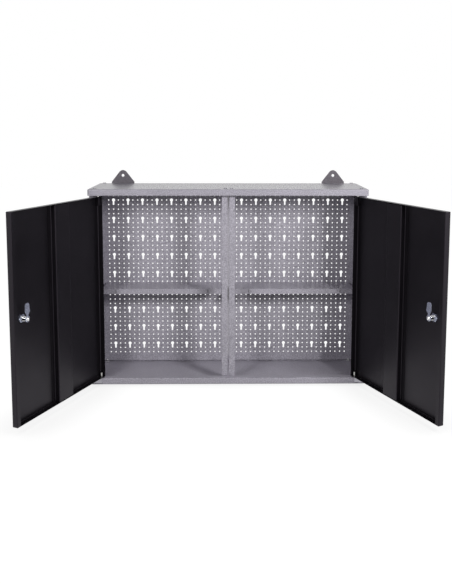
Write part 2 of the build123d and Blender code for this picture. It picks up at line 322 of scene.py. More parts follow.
FOLD_R = 4 * MM           # fold between the pan's face and its flanges
CORNER_R = 6 * MM         # upright corners of the pans
RIM_R = 0.3 * MM
LIP_FREE = 38.3 * MM      # lip ends this far from the side, at the hinge bracket
LIP_DEPTH = 19.7 * MM     # lip runs this far back from the front
LIP_BEND = 2.5 * MM       # outer radius of the fold between flange and lip
SLOT = (2.6 * MM, 2 * MM)
SLOT_PITCH = 6.5 * MM     # a tab is seen through two small slots


def plan_loop(low, high, inset, z):
    """Rounded rectangle inside the pan's plan, at height z."""
    radius = max(CORNER_R - inset, 0.5 * MM)
    x0, x1 = low.x + inset + radius, high.x - inset - radius
    y0, y1 = low.y + inset + radius, high.y - inset - radius
    points = []
    for start, (x, y) in enumerate(((x1, y1), (x0, y1), (x0, y0), (x1, y0))):
        points += quarter((x, y), radius, start)
    return [(x, y, z) for x, y in points]


def tab_slots():
    """Middles of the slots, over the tabs of the side panels and posts."""
    side_low, side_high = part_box("side_panel_left")
    post_low, post_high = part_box("centre_post_left")
    front = post_low.y + SHEET / 2
    rear = side_high.y - SHEET / 2
    spots = ((post_high.x - 6.3 * MM, front), (side_low.x + 17 * MM, front), (side_low.x + 14.6 * MM, rear))
    return [(side * x, y) for side in (-1, 1) for x, y in spots]


def pan(node, up):
    """Top pan (up = 1) or bottom pan (up = -1)."""
    low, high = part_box(node)
    face = high.z if up > 0 else low.z
    depth = high.z - low.z
    profile = [(FOLD_R - u, -FOLD_R + v) for u, v in reversed(quarter((0, 0), FOLD_R, 0))]
    profile += [(RIM_R - u, RIM_R - depth - v) for u, v in quarter((0, 0), RIM_R, 0, 3)]
    inner = SHEET - RIM_R
    profile += [(inner + u, RIM_R - depth - v) for u, v in reversed(quarter((0, 0), RIM_R, 0, 3))]
    profile += [(FOLD_R - u, -FOLD_R + v) for u, v in quarter((0, 0), FOLD_R - SHEET, 0)]
    bm = bmesh.new()
    rings = loft(bm, [plan_loop(low, high, inset, face + up * drop) for inset, drop in profile])
    for ring in (rings[0], rings[-1]):
        bm.faces.new(ring)
    piece = shown(bm, f"{node}_sheet", CASE_COAT, "cabinet")
    rim = face - up * depth
    lip = bmesh.new()
    lip_z = sorted((rim, rim + up * SHEET))
    box(lip, (low.x + LIP_FREE, low.y + SHEET / 2, lip_z[0]), (high.x - LIP_FREE, low.y + LIP_DEPTH, lip_z[1]))
    combine(piece, shown(lip, "lip", CASE_COAT, "cabinet"), "UNION")
    shade(piece, CASE_COAT)
    cuts = bmesh.new()
    half_x, half_y = SLOT[0] / 2, SLOT[1] / 2
    for middle, y in tab_slots():
        for x in (middle - SLOT_PITCH / 2, middle + SLOT_PITCH / 2):
            box(cuts, (x - half_x, y - half_y, face - 6 * MM), (x + half_x, y + half_y, face + 6 * MM))
    arc = [(low.y + u, rim + up * v) for u, v in quarter((LIP_BEND, LIP_BEND), LIP_BEND, 2)]
    past = low.y - MM, rim - up * MM
    corner = arc + [(low.y + LIP_BEND, past[1]), past, (past[0], rim + up * LIP_BEND)]
    rings = loft(cuts, [[(x, y, z) for y, z in corner] for x in (low.x + LIP_FREE, high.x - LIP_FREE)])
    for ring in rings:
        cuts.faces.new(ring)
    if up < 0:
        for side in (-1, 1):
            x0, x1 = sorted((side * (high.x - 32 * MM), side * (high.x - 7 * MM)))
            box(cuts, (x0, low.y - MM, FOLD_R), (x1, low.y + SHEET / 2 + MM, depth - SHEET))
    combine(piece, shown(cuts, "cuts", CASE_COAT, "cabinet"), "DIFFERENCE")
    shade(piece, CASE_COAT)
    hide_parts(node)
    return piece


TAB_END = (2.4 * MM, 1.0 * MM, 1.6 * MM)


def tab_ends():
    """Ends of the side panels' and posts' tabs, above the top, in near-black metal as painted shade; the tabs belong to
    the case-coated side panels and posts.
    """
    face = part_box("top_panel")[1].z
    half_x, half_y, rise = TAB_END[0] / 2, TAB_END[1] / 2, TAB_END[2]
    bm = bmesh.new()
    for middle, y in tab_slots():
        for x in (middle - SLOT_PITCH / 2, middle + SLOT_PITCH / 2):
            box(bm, (x - half_x, y - half_y, face - SHEET), (x + half_x, y + half_y, face + rise))
    shown(bm, "tab_ends", TAB_END_SHADE, "cabinet")


pan("top_panel", 1)
pan("bottom_panel", -1)
tab_ends()


# ---------------------------------------------------------------- case: perforated back panels

COLUMN_PITCH = 15 * MM
ROW_PITCH = 14.3 * MM
COLUMNS = 24
FIRST_COLUMN = 26.6 * MM
ROW_ZERO = 534 * MM       # row that the keyholes are counted from
ROWS_ABOVE = 1
ROWS_BELOW = 36
KEY_COLUMNS = 3
KEY_ROWS = 4
SMALL_HALF = 1.9 * MM     # half the width of a small hole
SMALL_CORNER = 0.8 * MM
HEAD_R = 5.0 * MM
SLOT_HALF = 2.5 * MM
KEY_DROP = 15.4 * MM      # foot of the slot below the middle of the head
SLOT_CORNER = 0.9 * MM
TRAY_FOLD = 1.5 * MM
TRAY_LIP = 12 * MM
TRAY_LIFT = 3.2 * MM      # dark gap under the tray


def small_hole():
    """Outline of a small square hole with broken corners."""
    a, b = SMALL_HALF, SMALL_HALF - SMALL_CORNER
    return [(a, -b), (a, b), (b, a), (-b, a), (-a, b), (-a, -b), (-b, -a), (b, -a)]


def key_hole(steps=16):
    """Outline of a keyhole, from the right end of its round head."""
    start = -atan2((HEAD_R**2 - SLOT_HALF**2) ** 0.5, SLOT_HALF)
    sweep = pi - 2 * start
    head = [(HEAD_R * cos(start + sweep * i / steps), HEAD_R * sin(start + sweep * i / steps)) for i in range(steps + 1)]
    x, foot = SLOT_HALF, -KEY_DROP
    return head + [(-x, foot + SLOT_CORNER), (-x + SLOT_CORNER, foot), (x - SLOT_CORNER, foot), (x, foot + SLOT_CORNER)]


def cell(hole, rows):
    """A hole in its cell of that many rows: points, count of edge points, and triangles between."""
    half = COLUMN_PITCH / 2
    edges = [ROW_PITCH / 2 - ROW_PITCH * i for i in range(rows + 1)]
    border = [(-half, z) for z in edges] + [(half, z) for z in reversed(edges)]
    rings = [[Vector((x, z, 0)) for x, z in ring] for ring in (border, hole)]
    return border + hole, len(border), tessellate_polygon(rings)


def perforated_back(side_name):
    """Shallow tray whose face is punched with small holes and keyholes."""
    side = SIDES[side_name]
    node = f"back_panel_{side_name}"
    low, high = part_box(node)
    inner, outer = sorted((abs(low.x), abs(high.x)))
    face, rear = low.y, high.y
    columns = [FIRST_COLUMN + COLUMN_PITCH * (i - 0.5) for i in range(COLUMNS + 1)]
    rows = [ROW_ZERO - ROW_PITCH * (i - 0.5) for i in range(-ROWS_ABOVE, ROWS_BELOW + 1)]
    bm = bmesh.new()
    welded = {}

    def vertex(x, y, z):
        key = tuple(round(value / (0.01 * MM)) for value in (x, y, z))
        if key not in welded:
            welded[key] = bm.verts.new((-x, y, z))
        return welded[key]

    small, key = cell(small_hole(), 1), cell(key_hole(), 2)
    for column in range(COLUMNS):
        for row in range(-ROWS_ABOVE, ROWS_BELOW):
            keyed = column % KEY_COLUMNS == 1 and row % KEY_ROWS in (1, 2) and row > 0
            if keyed and row % KEY_ROWS == 2:
                continue
            points, border, triangles = key if keyed else small
            x, z = FIRST_COLUMN + COLUMN_PITCH * column, ROW_ZERO - ROW_PITCH * row
            front = [vertex(x + u, face, z + v) for u, v in points]
            back = [vertex(x + u, face + SHEET, z + v) for u, v in points]
            for triangle in triangles:
                bm.faces.new([front[i] for i in triangle])
                bm.faces.new([back[i] for i in reversed(triangle)])
            count = len(points) - border
            for i in range(count):
                a, b = border + i, border + (i + 1) % count
                bm.faces.new((front[a], front[b], back[b], back[a]))

    def around(x0, x1, z0, z1, y):
        loop = [(x, z0) for x in (x0, *columns[1:-1])] + [(x1, z) for z in (z0, *reversed(rows[1:-1]))]
        loop += [(x, z1) for x in (x1, *reversed(columns[1:-1]))] + [(x0, z) for z in (z1, *rows[1:-1])]
        return [vertex(x, y, z) for x, z in loop]

    profile = [(TRAY_FOLD + u, face + TRAY_FOLD + v) for u, v in reversed(quarter((0, 0), TRAY_FOLD, 2, 4))]
    profile += [(0, rear), (SHEET, rear)]
    profile += [(TRAY_FOLD + u, face + TRAY_FOLD + v) for u, v in quarter((0, 0), TRAY_FOLD - SHEET, 2, 2)]
    grid = (columns[0], columns[-1], rows[-1], rows[0])
    loops = [around(*grid, face)]
    foot = low.z + TRAY_LIFT
    loops += [around(inner + d, outer - d, foot + d, high.z - d, y) for d, y in profile]
    loops += [around(*grid, face + SHEET)]
    for ring, following in zip(loops, loops[1:]):
        for i, corner in enumerate(ring):
            j = (i + 1) % len(ring)
            bm.faces.new((corner, ring[j], following[j], following[i]))
    box(bm, (-outer + SHEET / 2, rear - SHEET, low.z + 3 * MM), (-outer + TRAY_LIP, rear, high.z - 3 * MM))
    mirrored(bm, side)
    piece = shown(bm, f"perforated_back_{side_name}", CASE_COAT, "cabinet", smooth=30)
    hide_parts(node)


for name in SIDES:
    perforated_back(name)


# ---------------------------------------------------------------- case: the folded pieces kept as they are

for name in SIDES:
    for node in ("side_panel", "centre_post", "shelf", "shelf_gussets"):
        dressed(f"{node}_{name}", CASE_COAT, "cabinet")


# ---------------------------------------------------------------- hanging ears

EAR_SHEET = 2.0 * MM
EAR_SIDE = 73 * MM        # axis of the ear from the side of the cabinet
EAR_APEX_R = 14 * MM
EAR_HALF = 35 * MM
EAR_CORNER_R = 5 * MM
EAR_FOOT_HALF = 22 * MM
EAR_HOLE_R = 4.5 * MM
EAR_HOLE_DROP = 16.5 * MM


def hull(points):
    """Convex outline of the points, anticlockwise."""
    ordered = sorted(set(points))
    sides = []
    for run in (ordered, ordered[::-1]):
        side = []
        for x, y in run:
            while len(side) > 1:
                (ax, ay), (bx, by) = side[-2:]
                if (bx - ax) * (y - ay) - (by - ay) * (x - ax) > 0:
                    break
                side.pop()
            side.append((x, y))
        sides += side[:-1]
    return sides


def hanging_ear(side_name):
    """Rounded kite of thicker plate behind the top, with its hole."""
    node = f"hanging_ear_{side_name}"
    low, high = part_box(node)
    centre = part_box("top_panel")[0].x + EAR_SIDE
    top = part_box("top_panel")[1].z
    spots = [(0, high.z - EAR_APEX_R, EAR_APEX_R)]
    spots += [(way * (EAR_HALF - EAR_CORNER_R), top + EAR_CORNER_R / 2, EAR_CORNER_R) for way in (-1, 1)]
    points = [(x + u, z + v) for x, z, radius in spots for u, v in circle(radius, 40)]
    outline = hull(points + [(-EAR_FOOT_HALF, low.z), (EAR_FOOT_HALF, low.z)])
    hole = [(u, high.z - EAR_HOLE_DROP + v) for u, v in circle(EAR_HOLE_R, 28)]
    triangles = tessellate_polygon([[Vector((x, z, 0)) for x, z in loop] for loop in (outline, hole)])
    bm = bmesh.new()
    sheets = [[bm.verts.new((centre + x, y, z)) for x, z in outline + hole] for y in (high.y - EAR_SHEET, high.y)]
    for triangle in triangles:
        for sheet in sheets:
            bm.faces.new([sheet[i] for i in triangle])
    for start, count in ((0, len(outline)), (len(outline), len(hole))):
        for i in range(count):
            a, b = start + i, start + (i + 1) % count
            bm.faces.new((sheets[0][a], sheets[0][b], sheets[1][b], sheets[1][a]))
    bmesh.ops.dissolve_limit(bm, angle_limit=radians(0.5), verts=bm.verts, edges=bm.edges)
    rims = [e for e in bm.edges if e.calc_face_angle(0) > radians(60)]
    bmesh.ops.bevel(bm, geom=rims, offset=0.4 * MM, segments=2, affect="EDGES", clamp_overlap=False)
    mirrored(bm, SIDES[side_name])
    piece = shown(bm, f"{node}_plate", EAR_COAT, "cabinet")
    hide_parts(node)


for name in SIDES:
    hanging_ear(name)


# ---------------------------------------------------------------- hinge brackets

BRACKET_SHEET = 1.5 * MM
BRACKET_SPAN = (4.5 * MM, 38 * MM)     # from the side of the cabinet
FLANGE = 19 * MM
PIN_R = 3.0 * MM
PIN_RISE = 14 * MM
COLLAR = (5.5 * MM, 1.0 * MM)


def hinge_brackets(side_name):
    """Lower and upper angle, each with its pin; the lower pin has a collar that carries the door."""
    node = f"hinge_brackets_{side_name}"
    low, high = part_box("top_panel")
    middle = high.z / 2
    path = [(low.y + SHEET, 4 * MM), (low.y + SHEET, FLANGE), (low.y + LIP_DEPTH, FLANGE)]
    section = folded(path, BRACKET_SHEET, 0.8 * MM)
    angles, pins = bmesh.new(), bmesh.new()
    for way in (1, -1):
        def level(z):
            return middle + way * (z - middle)

        loops = [[(low.x + x, y, level(z)) for y, z in section] for x in BRACKET_SPAN]
        for ring in loft(angles, loops):
            angles.faces.new(ring)
        place = Matrix.Translation((PIVOT.x, PIVOT.y, 0))
        tip = FLANGE + PIN_RISE
        profile = [(PIN_R, FLANGE - BRACKET_SHEET / 2), (PIN_R, tip - 0.5 * MM), (PIN_R - 0.5 * MM, tip)]
        if way > 0:
            collar = [(COLLAR[0], FLANGE - BRACKET_SHEET / 2), (COLLAR[0], FLANGE + COLLAR[1]), (PIN_R, FLANGE + COLLAR[1])]
            profile = collar + profile[1:]
        turned(pins, [(radius, level(z)) for radius, z in profile], place, 24)
    cut_edges = [e for e in angles.edges if e.calc_face_angle(0) > radians(60)]
    bmesh.ops.bevel(angles, geom=cut_edges, offset=EDGE, segments=2, affect="EDGES", clamp_overlap=False)
    for bm, name, material in ((angles, node, GREY_ZINC), (pins, f"hinge_pins_{side_name}", ZINC)):
        mirrored(bm, SIDES[side_name])
        piece = shown(bm, f"{name}_sheet" if bm is angles else name, material, "cabinet")
        if bm is angles:
            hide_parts(node)


for name in SIDES:
    hinge_brackets(name)


# ---------------------------------------------------------------- doors
# Points of the left door are (along from its pivot, inward from the pivot, height).

DOOR_HINGE = -8.0 * MM    # hinge edge of the door
DOOR_FREE = 368.5 * MM    # free edge
DOOR_FACE = -8.0 * MM     # outer face
DOOR_RIM = 8.0 * MM       # edge of the folded sides
SKIN = DOOR_FACE + SHEET
DOOR_FOLD = 2.2 * MM      # inside radius of the folds at the skin
DOOR_CORNER = 1.6 * MM
LIP_FOLD = 1.8 * MM
LIP_REACH = 12.4 * MM
PIN_BORE = 3.05 * MM
LOCK_BORE = 6.65 * MM
BLOCK = (12 * MM, 25 * MM)
RIB = (145 * MM, 204 * MM)
RIB_FOOT = 12 * MM
RIB_BEND = 1.6 * MM


def door_point(along, inward, z):
    """A point of the left door in the cabinet's frame."""
    return Vector((PIVOT.x, PIVOT.y, z)) - HINGEWARD * along + INWARD * inward


def door_prism(bm, section, low, high):
    """Upright prism on a section in the door's plan."""
    rings = loft(bm, [[door_point(u, v, z) for u, v in section] for z in (low, high)])
    for ring in rings:
        bm.faces.new(ring)


def door_loop(low, high, inset, depth):
    """Rounded rectangle inside the outline of the door, at a depth."""
    radius = max(DOOR_CORNER - inset, 0.4 * MM)
    u0, u1 = DOOR_HINGE + inset + radius, DOOR_FREE - inset - radius
    z0, z1 = low + inset + radius, high - inset - radius
    points = []
    for start, centre in enumerate(((u1, z1), (u0, z1), (u0, z0), (u1, z0))):
        points += quarter(centre, radius, start, 3)
    return [door_point(u, depth, z) for u, z in points]


def door_shell(low, high):
    """Skin and four folded sides, as a mesh that is still open to cuts."""
    outer, rim = DOOR_FOLD + SHEET, RIM_R
    inner = SHEET - rim
    profile = [(outer - u, DOOR_FACE + outer - v) for u, v in reversed(quarter((0, 0), outer, 0))]
    profile += [(rim - u, DOOR_RIM - rim + v) for u, v in quarter((0, 0), rim, 0, 3)]
    profile += [(inner + u, DOOR_RIM - rim + v) for u, v in reversed(quarter((0, 0), rim, 0, 3))]
    profile += [(outer - u, DOOR_FACE + outer - v) for u, v in quarter((0, 0), DOOR_FOLD, 0)]
    bm = bmesh.new()
    rings = loft(bm, [door_loop(low, high, inset, depth) for inset, depth in profile])
    for ring in (rings[0], rings[-1]):
        bm.faces.new(ring)
    return bm


def door_additions(low, high):
    """Lip along the free edge, and the bearing block for the upper pin."""
    bm = bmesh.new()
    u0, u1 = DOOR_FREE - LIP_REACH, DOOR_FREE - SHEET / 2
    v0, v1 = DOOR_RIM - SHEET, DOOR_RIM
    door_prism(bm, [(u0, v0), (u1, v0), (u1, v1), (u0, v1)], low + SHEET / 2, high - SHEET / 2)
    u0, v0 = DOOR_HINGE + SHEET / 2, DOOR_FACE + SHEET / 2
    u1, v1 = DOOR_HINGE + SHEET + BLOCK[0], SKIN + BLOCK[0]
    c = 0.9 * MM
    section = [(u0, v0), (u1, v0), (u1, v1 - c), (u1 - 0.3 * c, v1 - 0.3 * c), (u1 - c, v1), (u0, v1)]
    door_prism(bm, section, high - SHEET - BLOCK[1], high - SHEET / 2)
    return bm


def door_cuts(low, high):
    """Corner of the lip's fold, bores of the pins and hole of the lock."""
    bm = bmesh.new()
    past = MM
    arc = quarter((DOOR_FREE - LIP_FOLD, DOOR_RIM - LIP_FOLD), LIP_FOLD, 0)
    corner = [(DOOR_FREE + past, DOOR_RIM - LIP_FOLD)] + arc
    corner += [(DOOR_FREE - LIP_FOLD, DOOR_RIM + past), (DOOR_FREE + past, DOOR_RIM + past)]
    door_prism(bm, corner, low - past, high + past)
    for z0, z1 in ((low - past, low + SHEET + past), (high - SHEET - BLOCK[1] - past, high + past)):
        door_prism(bm, circle(PIN_BORE), z0, z1)
    turned(bm, [(LOCK_BORE, SKIN - 2 * past), (LOCK_BORE, SKIN + past)], lock_frame())
    return bm


def door(side_name):
    """Folded door with its lip and bearing block."""
    node = f"door_{side_name}"
    body = f"{side_name}_door"
    low, high = (corner.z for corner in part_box(node))

    def part(bm, name):
        mirrored(bm, SIDES[side_name])
        return shown(bm, name, DOOR_COAT, body)

    piece = part(door_shell(low, high), f"{node}_sheet")
    combine(piece, part(door_additions(low, high), "additions"), "UNION")
    shade(piece, DOOR_COAT)
    combine(piece, part(door_cuts(low, high), "cuts"), "DIFFERENCE")
    shade(piece, DOOR_COAT, 35)
    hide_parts(node)


def stiffener(side_name):
    """Hat section down the middle of the door."""
    node = f"door_stiffener_{side_name}"
    low, high = (corner.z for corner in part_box(node))
    near, far = RIB
    foot = SKIN + SHEET
    path = [(near - RIB_FOOT, foot), (near, foot), (near, DOOR_RIM), (far, DOOR_RIM), (far, foot), (far + RIB_FOOT, foot)]
    bm = bmesh.new()
    trim = DOOR_FOLD - 1.0 * MM
    door_prism(bm, folded(path, SHEET, RIB_BEND), low + trim, high - trim)
    cut_edges = [e for e in bm.edges if e.calc_face_angle(0) > radians(60)]
    bmesh.ops.bevel(bm, geom=cut_edges, offset=EDGE, segments=2, affect="EDGES", clamp_overlap=False)
    mirrored(bm, SIDES[side_name])
    piece = shown(bm, f"{node}_sheet", DOOR_COAT, f"{side_name}_door", smooth=35)
    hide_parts(node)


def lock_frame():
    """Frame of the left lock: X towards the hinge, Y up, Z out of the inside of the door."""
    axes = Matrix((HINGEWARD, LEVEL, INWARD)).transposed()
    return Matrix.Translation(LOCK) @ axes.to_4x4()


for name in SIDES:
    door(name)
    stiffener(name)


# ---------------------------------------------------------------- fasteners

def facing(x, y, z, toward):
    """Frame at a point of the case with its Z axis along the Y direction given by toward."""
    return Matrix.Translation((x, y, z)) @ Matrix.Rotation(-toward * pi / 2, 4, "X")


def dome(bm, matrix, radius, height, steps=24):
    """Low rivet or screw head on a flat face."""
    rise = [(radius * cos(a), height * (0.25 + 0.75 * sin(a))) for a in (0, pi / 10, pi / 5, pi / 3, pi / 2.2)]
    turned(bm, [(radius, 0)] + rise, matrix, steps)


def hexagon_head(bm, matrix, flats, height, bore=0.0, start=0.0, side_steps=6):
    """Hexagon nut or screw head with its corners turned off at both ends."""
    corner = flats / 2 / cos(pi / 6)
    turned_r = flats / 2 * 1.02
    slope = 0.55
    steps = 6 * side_steps

    def ring(level, limit):
        points = []
        for i in range(steps):
            a = 2 * pi * i / steps + start
            flat = flats / 2 / cos((2 * pi * i / steps) % (pi / 3) - pi / 6)
            radius = min(flat, limit)
            z = level
            if limit > corner:
                drop = max(flat - turned_r, 0) * slope
                z = drop if level < height / 2 else height - drop
            points.append(matrix @ Vector((radius * cos(a), radius * sin(a), z)))
        return points

    def hole(level, radius):
        return [matrix @ Vector((x, y, level)) for x, y in circle(radius, steps, start)]

    loops = [ring(0, turned_r), ring(0, 2 * corner), ring(height, 2 * corner), ring(height, turned_r)]
    if bore:
        chamfer = 0.3 * MM
        loops = [hole(chamfer, bore), hole(0, bore + chamfer)] + loops
        loops += [hole(height, bore + chamfer), hole(height - chamfer, bore)]
        loops.append(loops[0])
    rings = loft(bm, loops)
    if not bore:
        for end in (rings[0], rings[-1]):
            bm.faces.new(end)


NOSE = (9 * MM, 15 * MM, 0.2 * MM)      # width, height, gap behind the lip
FOOT_SCREW = (15.5 * MM, 6.5 * MM, 2.6 * MM)           # from the side, above the base, radius
RIVET_R = 4.0 * MM
RIVET_RISE = 1.4 * MM
RIVET_SIDE = 8.25 * MM    # rivets from the side of the cabinet
SCREW_R = 3.75 * MM
SCREW_RISE = 2.2 * MM
GUSSET_INSET = 9.6 * MM   # screws from the gusset's web
NUT_FLATS = 7 * MM
NUT_RISE = 3.2 * MM


def case_rivets(side_name):
    """Rivets that hold the perforated back's lip to the side panel's rear return."""
    side_low, side_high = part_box(f"side_panel_{side_name}")
    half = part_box("top_panel")[1].x
    x = SIDES[side_name] * (half - RIVET_SIDE)
    length = side_high.z - side_low.z
    bm = bmesh.new()
    for share in (0.105, 0.365, 0.63, 0.89):
        dome(bm, facing(x, side_high.y, side_low.z + share * length, 1), RIVET_R, RIVET_RISE)
    shown(bm, f"back_rivets_{side_name}", ZINC, "cabinet")


def gusset_screws(side_name):
    """Screws through the gussets' feet and the small holes of the back, with nuts behind."""
    low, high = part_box(f"shelf_gussets_{side_name}")
    back_low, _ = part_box(f"back_panel_{side_name}")
    foot = 1.5 * MM
    bm = bmesh.new()
    for x in (low.x + foot / 2 + GUSSET_INSET, high.x - foot / 2 - GUSSET_INSET):
        for row in (20, 21):
            z = ROW_ZERO - ROW_PITCH * row
            head = facing(x, high.y - foot, z, -1)
            dome(bm, head, SCREW_R, SCREW_RISE)
            hexagon_head(bm, facing(x, back_low.y + SHEET, z, 1), NUT_FLATS, NUT_RISE)
            turned(bm, [(1.9 * MM, 0), (1.9 * MM, 4.6 * MM)], facing(x, back_low.y, z, 1), 16)
    shown(bm, f"gusset_screws_{side_name}", ZINC, "cabinet")


def gusset_noses_painted_shade(side_name):
    """Folded noses of the gussets, seen through the slots of the shelf's lip, in the ears' dark coat as painted shade;
    the gussets themselves are case-coated.
    """
    low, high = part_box(f"shelf_gussets_{side_name}")
    shelf_low, shelf_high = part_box(f"shelf_{side_name}")
    half, rise, y = NOSE[0] / 2, NOSE[1] / 2, shelf_low.y + SHEET + NOSE[2]
    middle = shelf_high.z - SHEET - 0.5 * (shelf_high.z - shelf_low.z - SHEET)
    bm = bmesh.new()
    for x in (low.x + 0.75 * MM, high.x - 0.75 * MM):
        box(bm, (x - half, y, middle - rise), (x + half, y + SHEET, middle + rise))
    # the ears' dark coat here is painted shade in the lip's slots
    shown(bm, f"gusset_noses_painted_shade_{side_name}", EAR_COAT, "cabinet")


def foot_screw(side_name):
    """Small screw in the outer lower corner of the perforated back."""
    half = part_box("top_panel")[1].x
    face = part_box(f"back_panel_{side_name}")[0].y
    side, rise, radius = FOOT_SCREW
    bm = bmesh.new()
    dome(bm, facing(SIDES[side_name] * (half - side), face, rise, -1), radius, 1.4 * MM, 20)
    shown(bm, f"foot_screw_{side_name}", ZINC, "cabinet")


for name in SIDES:
    case_rivets(name)
    gusset_screws(name)
    foot_screw(name)
    gusset_noses_painted_shade(name)


# ---------------------------------------------------------------- cam locks

BARREL_R = 6.5 * MM
BARREL_END = 11.3 * MM
BARREL_FLAT = 5.9 * MM    # half the distance between the flats of the threaded body
THREAD_PITCH = 1.0 * MM
THREAD_DEPTH = 0.35 * MM
HEAD_RIM_R = 9.0 * MM
HEAD_RISE = 2.0 * MM
BORE_R = 5.05 * MM
LOCK_NUT_FLATS = 19 * MM
LOCK_NUT_RISE = 4 * MM
CAM_PLANE = 11.6 * MM
CAM_THICK = 2.0 * MM
CAM_HUB_R = 7.6 * MM
CAM_WAIST = 3.2 * MM      # half width of the waist
CAM_NECK = 11.5 * MM      # waist above the axis
CAM_SHOULDER = 18 * MM    # lower corners of the tip
CAM_HALF = 7.5 * MM       # half width of the tip
CAM_REACH = 40.2 * MM
CAM_FLARE = 2.2 * MM      # lower corner of the tip, beyond its side


def barrel(side_name):
    """Face flange, threaded body with two flats, and the bore of the plug."""
    bm = bmesh.new()
    place = lock_frame()
    steps, pitch_steps = 48, 6
    turns = int((BARREL_END - SKIN) / THREAD_PITCH * pitch_steps)
    rounding = 0.5 * MM

    def ring(radius, level):
        return [place @ Vector((x, y, level)) for x, y in circle(radius, steps)]

    def thread(i):
        level = SKIN + (BARREL_END - SKIN) * i / turns
        points = []
        for k in range(steps):
            a = 2 * pi * k / steps
            phase = ((level / THREAD_PITCH) - k / steps) % 1.0
            fade = min(1.0, (BARREL_END - level) / (0.8 * MM))
            radius = BARREL_R - THREAD_DEPTH * (1 - abs(2 * phase - 1) * fade)
            radius = min(radius, BARREL_FLAT / max(abs(cos(a)), 0.01))
            points.append(place @ Vector((radius * cos(a), radius * sin(a), level)))
        return points

    face = DOOR_FACE - HEAD_RISE
    loops = [ring(BORE_R, BARREL_END), ring(BORE_R, face + 0.3 * MM), ring(BORE_R + 0.3 * MM, face)]
    loops += [ring(HEAD_RIM_R - rounding * (1 - sin(a)), face + rounding * (1 - cos(a))) for a in (0, 0.5, 1.0, 1.5)]
    loops += [ring(HEAD_RIM_R, DOOR_FACE), ring(BARREL_R, DOOR_FACE)]
    loops += [thread(i) for i in range(turns + 1)] + [ring(BORE_R, BARREL_END)]
    loft(bm, loops)
    bmesh.ops.remove_doubles(bm, verts=bm.verts, dist=0.0001 * MM)
    mirrored(bm, SIDES[side_name])
    piece = shown(bm, f"lock_body_{side_name}", CHROME, f"{side_name}_door", smooth=40)
    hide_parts(f"lock_barrel_{side_name}")


def lock_nut(side_name):
    """Hexagon nut that clamps the lock to the door."""
    bm = bmesh.new()
    place = lock_frame() @ Matrix.Translation((0, 0, SKIN))
    hexagon_head(bm, place, LOCK_NUT_FLATS, LOCK_NUT_RISE, bore=BARREL_R + 0.05 * MM, side_steps=8)
    mirrored(bm, SIDES[side_name])
    piece = shown(bm, f"lock_clamp_nut_{side_name}", BLUE_ZINC, f"{side_name}_door", smooth=40)
    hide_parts(f"lock_nut_{side_name}")


def cam_outline():
    """Hub, waist and flared tip of the cam, as one outline that runs anticlockwise."""
    lift = (CAM_HUB_R**2 - CAM_WAIST**2) ** 0.5
    start = atan2(lift, -CAM_WAIST)
    sweep = 2 * pi - 2 * (start - pi / 2)
    hub = [
        (CAM_HUB_R * cos(start + sweep * i / 28), CAM_HUB_R * sin(start + sweep * i / 28))
        for i in range(29)
    ]
    right = [
        (CAM_WAIST, CAM_NECK),
        (CAM_HALF + CAM_FLARE - MM, CAM_SHOULDER - 0.6 * MM),
        (CAM_HALF + CAM_FLARE, CAM_SHOULDER + 0.8 * MM),
        (CAM_HALF, CAM_SHOULDER + 7 * MM),
    ]
    middle = CAM_REACH - CAM_HALF
    tip = [(CAM_HALF * cos(pi * i / 16), middle + CAM_HALF * sin(pi * i / 16)) for i in range(17)]
    left = [(-CAM_HALF, CAM_SHOULDER + MM), (-CAM_HALF + 0.7 * MM, CAM_SHOULDER - 0.5 * MM), (-CAM_WAIST, CAM_NECK)]
    return hub + right + tip + left


def cam(side_name):
    """Flat cam on the plug's square, with its washer and screw."""
    body = f"{side_name}_lock"
    place = lock_frame()
    bm = bmesh.new()
    rings = loft(bm, [[place @ Vector((x, y, level)) for x, y in cam_outline()] for level in (CAM_PLANE, CAM_PLANE + CAM_THICK)])
    for ring in rings:
        bm.faces.new(ring)
    edges = [e for e in bm.edges if e.calc_face_angle(0) > radians(60)]
    bmesh.ops.bevel(bm, geom=edges, offset=0.35 * MM, segments=2, affect="EDGES", clamp_overlap=False)
    mirrored(bm, SIDES[side_name])
    piece = shown(bm, f"cam_plate_{side_name}", BLUE_ZINC, body, smooth=40)
    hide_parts(f"lock_cam_{side_name}")
    screw = bmesh.new()
    top = CAM_PLANE + CAM_THICK
    washer = place @ Matrix.Translation((0, 0, top))
    turned(screw, [(6.0 * MM, 0), (6.0 * MM, 0.7 * MM), (5.7 * MM, MM), (3.0 * MM, MM)], washer)
    dome(screw, place @ Matrix.Translation((0, 0, top + MM)), 4.4 * MM, 3.4 * MM)
    mirrored(screw, SIDES[side_name])
    shown(screw, f"cam_screw_{side_name}", CHROME, body, smooth=40)


for name in SIDES:
    barrel(name)
    lock_nut(name)
    cam(name)
    dressed(f"lock_plug_{name}", CHROME, f"{name}_lock", edge=0.12 * MM)


# ---------------------------------------------------------------- stage, light and camera

FLOOR_GLOW = 0.9          # share of the floor's white that no lamp's shadow dims, as seen by the camera; the painted shadow near the case dims it
CONTACT_REACH = 0.16      # reach of the painted soft shadow where the case stands on the floor
CONTACT_SHADE = 0.34
MIDDLE = Vector((0, 0, 0.28))


def seen_rays(tree):
    """1 for rays that carry a picture of the white background: camera, glossy and transmission."""
    path = add_node(tree, "ShaderNodeLightPath")
    first = add_node(tree, "ShaderNodeMath", {0: path.outputs["Is Camera Ray"], 1: path.outputs["Is Glossy Ray"]}, operation="MAXIMUM")
    both = add_node(tree, "ShaderNodeMath", {0: first.outputs[0], 1: path.outputs["Is Transmission Ray"]}, operation="MAXIMUM")
    return both.outputs[0]


